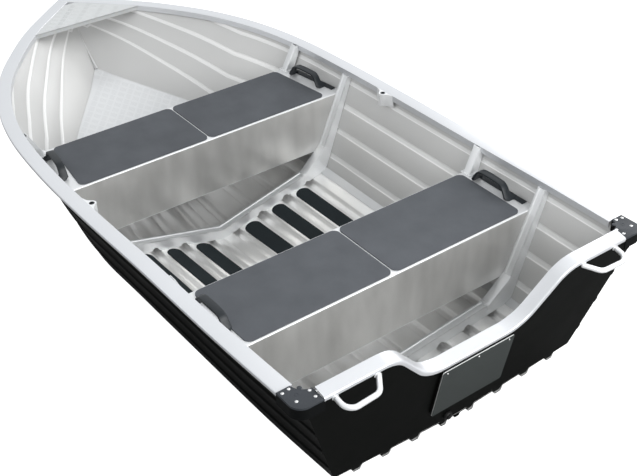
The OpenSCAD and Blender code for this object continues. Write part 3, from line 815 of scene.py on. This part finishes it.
def frame_piece(x, name):
    k = Piece()
    xm = x + FRAME_W / 2
    outer, inner = frame_lines(xm)
    c = chine(station(xm))
    bend = inner[1]
    # notches over the bottom ribs
    notches = [(r[0] * c.y, r[1] * c.y * 0.62) for r in RIBS[BOTTOM][1:]]
    across, upward = 90, 30
    low, high = [], []
    for i in range(across + 1):
        y = bend[0] * i / across
        z = inner_bottom(xm, y)
        for yc, r in notches:
            if abs(y - yc) < r:
                z = max(z, inner_bottom(xm, yc) - 3 + math.sqrt(r * r - (y - yc) ** 2))
        low.append((y, z))
        high.append((y, lerp(inner[0][1], bend[1], i / across)))
    low += resample([(bend[0], inner_bottom(xm, bend[0]))] + outer, upward)[1:]
    high += resample(inner[1:], upward)[1:]
    for xa in (x, x + FRAME_W - PLATE):
        webs = [[[Vector((u, y, z)) for y, z in line] for line in (low, high)] for u in (xa, xa + PLATE)]
        k.shell(*webs, (0, 0, 0))
    # cap over both webs, hollowed along its middle, and a gusset sleeve round the chine corner
    secs, sleeve = [], []
    for i, (y, z) in enumerate(high):
        d = heading(high, i)
        nrm = Vector((0, -d.y, d.x)) if i else Vector((0, 0, 1))
        secs.append([Vector((x + u, y, z)) + nrm * h for u, h in both_edges(FRAME_CAP)])
        if across - 3 <= i and z < c.z + 124:
            sleeve.append([Vector((x + u, y, z)) + nrm * h for u, h in both_edges(FRAME_SLEEVE)])
    k.sweep(secs)
    k.sweep(sleeve)
    k.mirrored()
    k.finish(f"{name}_channel", [frame_look], "frame_sheet", name, 30)


frame_piece(FWD_X - FRAME_W, "forward_frame")
frame_piece(AFT_X - FRAME_W, "aft_frame")


UPRIGHT_W = 34.0


def upright_piece():
    k = Piece()
    for x, z in ((FWD_X + SEAT_L - 36, FWD_Z), (AFT_X + SEAT_L - 36, AFT_Z)):
        top = sheer(station(x)).z - 4
        y0, y1 = inner_side(x + UPRIGHT_W / 2, z), inner_side(x + UPRIGHT_W / 2, top)
        n = 12
        secs = []
        for i in range(n + 1):
            f = i / n
            yo, yi, zz = lerp(y0, y1 - 4, f), lerp(y0 - 44, y1 - 34, f), lerp(z, top, f)
            edge = [(3, yi + 3), (3, yo), (0, yo), (0, yi + 2), (0.6, yi + 0.6), (2, yi)]
            prof = edge + [(UPRIGHT_W - u, y) for u, y in edge[::-1]]
            secs.append([Vector((x + u, y, zz)) for u, y in prof])
        k.sweep(secs)
        # foot flange and two rivets
        k.box((x - 9, y0 - 52, z), (x + UPRIGHT_W + 9, y0 - 6, z + 2.4), 0.8)
        for dx in (4, 30):
            k.dome(Vector((x + dx, y0 - 48, z + 2.2)), (0, 0, 1), 3.2, 1.8, 1)
    k.mirrored()
    k.finish("seat_upright_set", [frame_look, rivet], "frame_sheet", "seat_uprights", 30)


upright_piece()

# Seats


def seat_piece(x, z, name):
    k = Piece()
    zb = z - SEAT_H
    secs = []
    for i in range(17):
        xi = x + SEAT_L * i / 16
        yt, yb = inner_side(xi, z), inner_side(xi, zb)
        secs.append([Vector((xi, yt, z)), Vector((xi, -yt, z)), Vector((xi, -yb, zb)), Vector((xi, yb, zb))])
    k.sweep(secs)
    bm = k.bm
    bmesh.ops.recalc_face_normals(bm, faces=bm.faces[:])
    for f in bm.faces:
        f.material_index = 1 if f.normal.z > 0.9 else 0

    def crosswise(e):
        p, q = (v.co for v in e.verts)
        level = abs(p.x - q.x) < 0.01 and abs(p.z - q.z) < 0.01
        return level and min(abs(p.x - x), abs(p.x - x - SEAT_L)) < 0.01

    k.round([e for e in bm.edges if len(e.link_faces) == 2 and crosswise(e)], 5.0, 4, 1)
    k.finish(f"{name}_box", [brushed, seat_top], "brushed_sheet", name, 30)


seat_piece(FWD_X, FWD_Z, "forward_seat")
seat_piece(AFT_X, AFT_Z, "aft_seat")


def corner_arc(before, corner, after, r, n):
    """Points of the arc of radius r that rounds the corner between two points."""
    o = Vector(corner)
    a = (Vector(before) - o).normalized()
    b = (Vector(after) - o).normalized()
    h = math.acos(clamp(a.dot(b), -1, 1)) / 2
    c = o + (a + b).normalized() * r / math.sin(h)
    s, e = o + a * r / math.tan(h), o + b * r / math.tan(h)
    sa, ea = math.atan2(s.y - c.y, s.x - c.x), math.atan2(e.y - c.y, e.x - c.x)
    d = (ea - sa + math.pi) % (2 * math.pi) - math.pi
    return [(c.x + r * math.cos(sa + d * j / n), c.y + r * math.sin(sa + d * j / n)) for j in range(n + 1)]


def round_outline(p, r, n=10):
    """A polygon with round corners."""
    out = []
    for i in range(len(p)):
        out += corner_arc(p[i - 1], p[i], p[(i + 1) % len(p)], r, n)
    return out


def seat_pad_piece(x, z, edge, name):
    k = Piece()
    y0, y1 = inner_side(x + 20, z) - edge, inner_side(x + SEAT_L - 20, z) - edge
    xa, xb, middle = x + 7, x + SEAT_L - 9, 4
    out = round_outline([(xa, middle), (xb, middle), (xb, y1), (xa, y0)], 26)
    k.prism(out, lambda u, v, w: Vector((u, v, z + w)), 4.0, 0, 1.4)
    k.mirrored()
    k.finish(f"{name}_sheet", [grip], "grip_pad", name, 50)


seat_pad_piece(FWD_X, FWD_Z, 84, "forward_seat_pads")
seat_pad_piece(AFT_X, AFT_Z, 66, "aft_seat_pads")

# shares of the bottom plate that each pad covers, and where the pads begin and end
FLOOR_PADS = [(0.160, 0.288), (0.418, 0.532), (0.655, 0.768)]
PAD_FROM, PAD_TO = 770.0, 1540.0


def floor_pad_piece(side):
    k = Piece()
    bevel = 1.0 / FLOOR_HALF
    for lo, hi in FLOOR_PADS:
        half, c = (hi - lo) / 2, (lo + hi) / 2
        r = half * FLOOR_HALF
        # places along the pad and its share of the full width there, down to the round end
        steps = [(lerp(PAD_FROM, PAD_TO - r, i / 24), 1.0) for i in range(24)]
        turns = [math.radians(5.5 * i) for i in range(16)]
        steps += [(PAD_TO - r + r * math.sin(a), math.cos(a)) for a in turns]
        secs = []
        for x, share in steps:
            t = station(x)
            a, b = c - half * share, c + half * share
            prof = [(a, -0.3), (b, -0.3), (b, 2.6), (b - bevel, 3.5), (a + bevel, 3.5), (a, 2.6)]
            secs.append([skin(BOTTOM, t, (u, 0), PLATE + h) for u, h in prof])
        k.sweep(secs)
    where = k.handed(side)
    k.finish(f"floor_grip_{where}", [floor_grip], "floor_pad", f"floor_pads_{where}", 40)


for hand in (1, -1):
    floor_pad_piece(hand)

# Grab handles and rowlock sockets


# places along the seat and heights of the arch's outer line
GRAB = [(0, 0), (9, 16), (18, 32), (27, 46), (39, 56), (56, 60.5), (100, 62)]
GRAB += [(200 - u, w) for u, w in GRAB[-2::-1]]


def grab_piece():
    k = Piece()
    for x, z in ((FWD_X, FWD_Z), (AFT_X, AFT_Z)):
        xa, xb = x + 40, x + SEAT_L - 46
        ya, yb = inner_side(xa, z + 4) - 4, inner_side(xb, z + 4) - 4
        m = Matrix.Translation((xa, ya, z)) @ Matrix.Rotation(math.atan2(yb - ya, xb - xa), 4, "Z")
        k.box((0, -24, 0), (xb - xa, 0, 5), 1.5, m)
        path = smooth(GRAB, 4)
        secs = []
        for n, (u, w) in enumerate(path):
            d = heading(path, n)
            share = clamp(w / 60, 0, 1)
            thick = lerp(12, 10, share)
            # outboard and inboard edges, drawn in toward the top
            o = -3 - 28 * smooth_step(w / 30)
            i = -50 + 2.5 * share - 14 * smooth_step(w / 12)
            prof = [
                (i, 3), (i + 1, 1), (i + 4, 0), (o - 4, 0), (o - 1, 1), (o, 3), (o, thick - 3),
                (o - 2, thick - 0.8), (o - 5, thick), (i + 5, thick), (i + 2, thick - 0.8), (i, thick - 3),
            ]
            secs.append([m @ Vector((44 + u + d.y * h, y, w - d.x * h)) for y, h in prof])
        k.sweep(secs)
    k.mirrored()
    k.finish("grab_handle_set", [black], "black_handle", "grab_handles", 35)


def smooth(path, n):
    """A finer line through the same points."""
    out = []
    for i in range(len(path) - 1):
        a, b, c, d = path[max(i - 1, 0)], path[i], path[i + 1], path[min(i + 2, len(path) - 1)]
        out += [curve(a, b, c, d, j / n) for j in range(n)]
    return out + [path[-1]]


grab_piece()


SOCKET_X, BORE, MOUTH = 1304.0, 6.7, 10.5
# radius and depth below the top of the plastic bush
BUSH = [(6.75, 7.9), (6.75, 1.2), (7.4, 0.6), (9.8, 0.6), (10.4, 1.2), (10.4, 7.9), (6.75, 7.9)]


def socket_piece(side):
    k = Piece()
    s = sheer(station(SOCKET_X))
    edge = s.y + RAIL_OUT - RAIL_W
    lo, hi = s.z - 54, s.z
    turns = [math.radians(a) for a in range(200, 350, 10)]
    arc = [(17 * math.cos(a), -13 + 17 * math.sin(a)) for a in turns]
    out = [(-54, 1), (-30, -6)] + arc + [(30, -6), (54, 1)]

    def loop(r, z):
        return [Vector((SOCKET_X + r * u, edge - 13 + r * v, z)) for u, v in unit_circle(40)]

    # outer wall, its two ends, the bore and its wider mouth
    wall = []
    for z, g in ((lo, -1.2), (lo + 1.2, 0), (hi - 2.2, 0), (hi - 1, -1.0)):
        wall.append([Vector((SOCKET_X + u * (1 + g / 54), edge + v, z)) for u, v in out])
    k.sweep(wall, caps=False)
    fill_ring(k, wall[0], loop(BORE, lo))
    fill_ring(k, wall[-1], loop(MOUTH, hi - 1))
    k.sweep([loop(BORE, lo), loop(BORE, hi - 8)], caps=False)
    fill_ring(k, loop(MOUTH, hi - 8), loop(BORE, hi - 8))
    k.sweep([loop(MOUTH, hi - 8), loop(MOUTH, hi - 1)], caps=False)
    k.sweep([loop(r, hi - h) for r, h in BUSH], 1, False)
    where = k.handed(side)
    k.finish(f"socket_{where}", [cast, black], "socket_metal", f"rowlock_socket_{where}", 35)


def fill_ring(k, *loops):
    """Flat face between closed loops of points."""
    edges = []
    for loop in loops:
        vs = [k.bm.verts.new(p) for p in loop]
        edges += [k.bm.edges.new((vs[i - 1], vs[i])) for i in range(len(vs))]
    return bmesh.ops.triangle_fill(k.bm, edges=edges, use_beauty=True)["geom"]


for hand in (1, -1):
    socket_piece(hand)

# Transom

RAKE = math.atan2(97, 474)
TOP_X, TOP_Z = HULL[0][0], HULL[0][2]
# turns lengths forward through the plate, to port and up the plate into the boat's axes
ON_TRANSOM = Matrix.Translation((TOP_X, 0, TOP_Z)) @ Matrix.Rotation(-RAKE, 4, "Y")
AFT = ON_TRANSOM.to_3x3() @ Vector((-1, 0, 0))
# the cut-out's depth, the middles of its lower and upper arcs, their radii and their angle
CUT_D, CUT_FLOOR, CUT_MOUTH, CUT_LOW, CUT_TOP, CUT_A = 186.0, 130.02, 412.0, 150.0, 120.0, 50.0
# half of its flat floor, and where the cap's level part begins and ends
CUT_FLAT, CAP_FROM, CAP_TO = 65.0, 500.0, 630.0


def tz(z):
    """Height z as a length in the transom's plane."""
    return (z - TOP_Z) / math.cos(RAKE)


def cut_line(n=14):
    """Half of the cut-out's edge, from the middle to the corner, in the transom's plane."""
    turns = [math.radians(CUT_A * i / n) for i in range(n + 1)]
    pts = [(0.0, -CUT_D), (CUT_FLAT, -CUT_D)]
    pts += [(CUT_FLOOR + CUT_LOW * math.sin(a), -CUT_D + CUT_LOW * (1 - math.cos(a))) for a in turns]
    pts += [(CUT_MOUTH - CUT_TOP * math.sin(a), -CUT_TOP * (1 - math.cos(a))) for a in turns[::-1]]
    return pts + [(CAP_FROM, 0.0), (CAP_TO, 0.0)]


def transom_piece():
    k = Piece()
    half = []
    for q in rib_points(BOTTOM, 0):
        s = skin(BOTTOM, 0, q, -0.2)
        half.append((s.y, tz(s.z)))
    for v in (0.10, 0.25, 0.4, 0.55, 0.7, 0.85, 0.97):
        s = on_plate(SIDE, 0, v)
        half.append((s.y + 1, tz(s.z)))
    half += [(sheer(0).y - 12, -6)] + [(y, z - 6) for y, z in cut_line()[::-1]]
    half = [(max(y, 0.0), z) for y, z in half]
    n = len(half)
    va = [k.bm.verts.new(ON_TRANSOM @ Vector((w, y, z))) for w in (0.0, PLATE) for y, z in half]
    for side in (0, 1):
        edges = [k.bm.edges.new((va[side * n + i], va[side * n + (i + 1) % n])) for i in range(n)]
        for g in bmesh.ops.triangle_fill(k.bm, edges=edges, use_beauty=True)["geom"]:
            if isinstance(g, bmesh.types.BMFace):
                g.material_index = side
    for i in range(n):
        j = (i + 1) % n
        # no rim along the middle, where the other half joins
        if half[i][0] or half[j][0]:
            k.bm.faces.new([va[i], va[j], va[n + j], va[n + i]])
    k.mirrored()
    k.finish("transom_sheet", [paint, inside], "painted_transom", "transom_plate", 30)


transom_piece()

# across the plate from aft to forward, and height over the plate's edge
CAP = [
    (-3, -2.6), (-2.5, 0.2), (-1, 2.4), (1.2, 3.6), (4, 4), (45, 4), (46.6, 3.6), (47.6, 2.7), (48, 1.2),
    (48, -10.8), (47.4, -12), (45.8, -12), (45, -11), (45, 0.4), (44.6, 0.8), (0.2, 0.8), (-0.2, 0.4),
    (-0.2, -10.4), (-0.8, -11.4), (-2.2, -11.4), (-3, -10.4),
]


def cap_piece():
    k = Piece()
    half = cut_line()
    line = [(-y, z) for y, z in half[::-1]][:-1] + half
    secs = []
    for i, (y, z) in enumerate(line):
        d = heading(line, i)
        secs.append([ON_TRANSOM @ Vector((w, y - d.y * h, z + d.x * h)) for w, h in CAP])
    k.sweep(secs)
    k.finish("transom_rail", [rail_look], "rail", "transom_cap", 30)


cap_piece()

CORNER_X, CORNER_L, CORNER_R, CAP_END = -38.0, 105.0, 44.0, 631.0
# middle and radius of the round hollow in the corner
HOLLOW_X, HOLLOW_Y, HOLLOW_R = 72.0, 627.0, 51.0
RIVETS = [(56, 688), (52, 713), (1, 700), (16, 644), (-14, 645)]


def corner_edge(inset):
    """Outer edge of a corner from the rail round to the cap."""
    x0, y0, r = CORNER_X + inset, sheer(0).y + 31 - inset, CORNER_R - inset
    arc = [(x0 + r - r * math.sin(a), y0 - r + r * math.cos(a)) for a in map(math.radians, range(0, 91, 6))]
    return [(CORNER_X + CORNER_L, y0)] + arc + [(x0, CAP_END)]


def corner_hollow(grow):
    """Inner edge of a corner from the cap round to the rail."""
    r, over, back = HOLLOW_R + grow, CAP_END - HOLLOW_Y, CORNER_X + CORNER_L - HOLLOW_X
    a0 = math.atan2(over, -math.sqrt(r * r - over**2))
    a1 = math.atan2(math.sqrt(r * r - back**2), back)
    turns = [lerp(a0, a1, i / 18) for i in range(19)]
    return [(HOLLOW_X + r * math.cos(a), HOLLOW_Y + r * math.sin(a)) for a in turns]


def corner_piece(side):
    k = Piece()
    z = sheer(0).z
    up = (0, 0, 1)
    k.prism(corner_edge(0) + corner_hollow(0), lambda u, v, w: Vector((u, v, z - 4 + w)), 7.0, 0, 1.8)
    # skirt below the outer edge, and a wall below the hollow edge
    for edge, foot, toe in ((corner_edge, 42.4, 0.4), (corner_hollow, 43, 0)):
        secs = []
        for (ua, va), (ub, vb) in zip(edge(0.5), edge(4)):
            sec = [(ua, va, 3.5), (ua, va, foot), (ub, vb, 44), (ub, vb, 3.5)]
            if toe:
                sec.insert(2, (lerp(ua, ub, toe), lerp(va, vb, toe), 44))
            secs.append([Vector((x, y, z - h)) for x, y, h in sec])
        k.sweep(secs, 1)
    # a boss by the hollow, rivets on small washers, and a moulded dimple's rim
    k.dome(Vector((42, 661, z + 2.6)), up, 8.0, 1.6, 0, 24, 4)
    for u, v in RIVETS:
        k.dome(Vector((u, v, z + 2.9)), up, 5.6, 0.7, 2, 18, 2)
        k.dome(Vector((u, v, z + 3.2)), up, 3.6, 2.0, 2, 14, 4)
    k.tube([Vector((24 + 6 * u, 684 + 6 * v, z + 3)) for u, v in unit_circle(24) + [(1, 0)]], 0.8, 8)
    where = k.handed(side)
    looks = [corner_look, skirt_look, rivet]
    k.finish(f"corner_{where}", looks, "corner_plastic", f"corner_casting_{where}", 40)


for hand in (1, -1):
    corner_piece(hand)

MOTOR_W, MOTOR_H, MOTOR_T, MOTOR_Y, MOTOR_TOP = 312.0, 228.0, 12.0, -10.0, -CUT_D - 12


def motor_piece():
    k = Piece()

    def outline(inset, r):
        lo, hi = MOTOR_Y - MOTOR_W / 2 + inset, MOTOR_Y + MOTOR_W / 2 - inset
        low, high = MOTOR_TOP - MOTOR_H + inset, MOTOR_TOP - inset
        return round_outline([(lo, low), (hi, low), (hi, high), (lo, high)], r, 6)

    # a dark backing block, and a thin sheet with bright cut edges over it
    k.prism(outline(3, 6), lambda u, v, q: ON_TRANSOM @ Vector((-q, u, v)), MOTOR_T - 3.2, 2)
    made = k.prism(outline(0, 8), lambda u, v, q: ON_TRANSOM @ Vector((3.0 - MOTOR_T - q, u, v)), 2.9, 1)
    face = made[1]
    bmesh.ops.inset_individual(k.bm, faces=[face], thickness=0.7, depth=0.0)
    face.material_index = 0
    for y in (-145, -10, 125):
        k.dome(ON_TRANSOM @ Vector((-MOTOR_T + 0.1, y, MOTOR_TOP - 14)), AFT, 3.6, 1.6, 3, 14, 3)
    k.finish("motor_pad_plate", [motor_look, edge_look, plug_look, rivet], "motor_pad", "motor_plate", 30)


motor_piece()

# the lifting handles' outer leg, span and reach aft, and their height over the plate's top edge
GRIP_Y, GRIP_SPAN, GRIP_REACH, GRIP_Z = 588.0, 148.0, 61.0, -22


def carry_piece():
    k = Piece()
    inner_y = GRIP_Y - GRIP_SPAN
    # forward, to port, and the radius of the bend
    corners = [
        (0.2, GRIP_Y, 0), (-GRIP_REACH, GRIP_Y, 36),
        (6 - GRIP_REACH, inner_y + 28, 34), (0.2, inner_y - 10, 0),
    ]
    k.tube([ON_TRANSOM @ Vector((x, y, GRIP_Z)) for x, y in bent(corners, 9)], 9.0, 18)
    # weld fillets where the legs meet the transom
    for y in (GRIP_Y, inner_y - 5):
        k.dome(ON_TRANSOM @ Vector((0.2, y, GRIP_Z)), AFT, 12.0, 3.5, 0, 24, 4)
    k.mirrored()
    k.finish("carry_handle_pair", [cast], "cast_handle", "transom_handles", 35)


def bent(corners, n):
    """Line through corners that are each rounded to their own radius."""
    out = [corners[0][:2]]
    for a, b, c in zip(corners, corners[1:], corners[2:]):
        out += corner_arc(a[:2], b[:2], c[:2], b[2], n)
    return out + [corners[-1][:2]]


carry_piece()


# radius and height over the transom
BUNG = [(17, 0), (17, 6.5), (15.8, 8.4), (14, 9.1), (10.5, 9.1), (10, 9.6), (10, 13), (9, 14)]


def plug_piece():
    k = Piece()
    up = ON_TRANSOM.to_3x3() @ Vector((0, 0, 1))
    c = ON_TRANSOM @ Vector((0, 48, tz(78)))
    k.sweep([[c + AFT * h + (Vector((0, u, 0)) + up * v) * r for u, v in unit_circle(32)] for r, h in BUNG])
    k.finish("drain_bung", [plug_look], "plug_rubber", "drain_plug", 35)


plug_piece()

# Stage, light and camera


def stage_plane():
    me = bpy.data.meshes.new("studio_floor")
    half = 60.0
    corners = [(x * half, y * half, 0) for x, y in ((-1, -1), (1, -1), (1, 1), (-1, 1))]
    me.from_pydata(corners, [], [(0, 1, 2, 3)])
    look = Look("studio_white", Base_Color=(0.30, 0.30, 0.30, 1), Roughness=0.9)
    # the camera sees the floor as plain white paper
    path = look.node("ShaderNodeLightPath", "Is Camera Ray")
    look.shader.inputs["Emission Color"].default_value = (1, 1, 1, 1)
    look.feed("Emission Strength", path)
    me.materials.append(look.mat)
    put("studio_floor", me)


stage_plane()


def studio_world():
    """Soft room light, brightest low over the starboard bow, and a white backdrop for the camera."""
    world = bpy.data.worlds.new("studio")
    bpy.context.scene.world = world
    world.use_nodes = True
    tree = world.node_tree
    tree.nodes.clear()
    new, link = tree.nodes.new, tree.links.new
    where = new("ShaderNodeTexCoord")
    facing = new("ShaderNodeVectorMath")
    facing.operation = "DOT_PRODUCT"
    facing.inputs[1].default_value = Vector((0.62, -0.66, 0.42)).normalized()
    link(where.outputs["Generated"], facing.inputs[0])
    shade = new("ShaderNodeMapRange")
    shade.interpolation_type = "SMOOTHSTEP"
    for i, v in enumerate((-0.2, 1.0, 0.74, 1.05), 1):
        shade.inputs[i].default_value = v
    link(facing.outputs["Value"], shade.inputs[0])
    kinds = ("Background", "Background", "MixShader", "OutputWorld")
    amb, paper, mix, out = (new("ShaderNode" + kind) for kind in kinds)
    amb.inputs[0].default_value = (0.965, 0.985, 1.0, 1)
    link(shade.outputs[0], amb.inputs[1])
    paper.inputs[0].default_value = (1, 1, 1, 1)
    link(new("ShaderNodeLightPath").outputs["Is Camera Ray"], mix.inputs[0])
    link(amb.outputs[0], mix.inputs[1])
    link(paper.outputs[0], mix.inputs[2])
    link(mix.outputs[0], out.inputs[0])


studio_world()


def lamp(name, place, target, size, watts):
    d = bpy.data.lights.new(name, "AREA")
    d.shape = "RECTANGLE"
    d.size, d.size_y = size
    d.energy = watts
    ob = put(name, d)
    ob.location = place
    ob.rotation_euler = (Vector(target) - Vector(place)).to_track_quat("-Z", "Y").to_euler()


lamp("key", (0.2, -3.6, 2.2), (0.6, 0.2, 0.3), (2.6, 2.0), 52)
lamp("fill", (-3.5, -0.3, 1.7), (0.0, 0.1, 0.35), (2.6, 1.6), 88)
lamp("bow", (1.0, 2.4, 1.9), (1.1, -0.3, 0.4), (1.2, 1.2), 8)

# camera fitted to the photo: its right, down and forward directions and its place, in the boat's axes
RIGHT = Vector((-0.5951, -0.80342, -0.01943))
DOWN = Vector((-0.45452, 0.35641, -0.81633))
AHEAD = Vector((0.66277, -0.47697, -0.57727))
EYE = Vector((-1864.84, 1953.88, 2715.25))
# focal length and width of the photo in pixels, and the sensor's width in millimetres
FOCAL, PHOTO_W, SENSOR = 1100, 637, 36.0

cam_data = bpy.data.cameras.new("camera")
cam_data.sensor_width = SENSOR
cam_data.lens = SENSOR * FOCAL / PHOTO_W
cam_data.clip_end = 200
turn = Matrix.Rotation(-STANCE, 3, "Y")
pose = Matrix((turn @ RIGHT, turn @ -DOWN, turn @ -AHEAD)).transposed().to_4x4()
pose.translation = STAND @ EYE
cam = put("camera", cam_data)
cam.matrix_world = pose
bpy.context.scene.camera = cam
bpy.context.scene.view_settings.view_transform = "Standard"
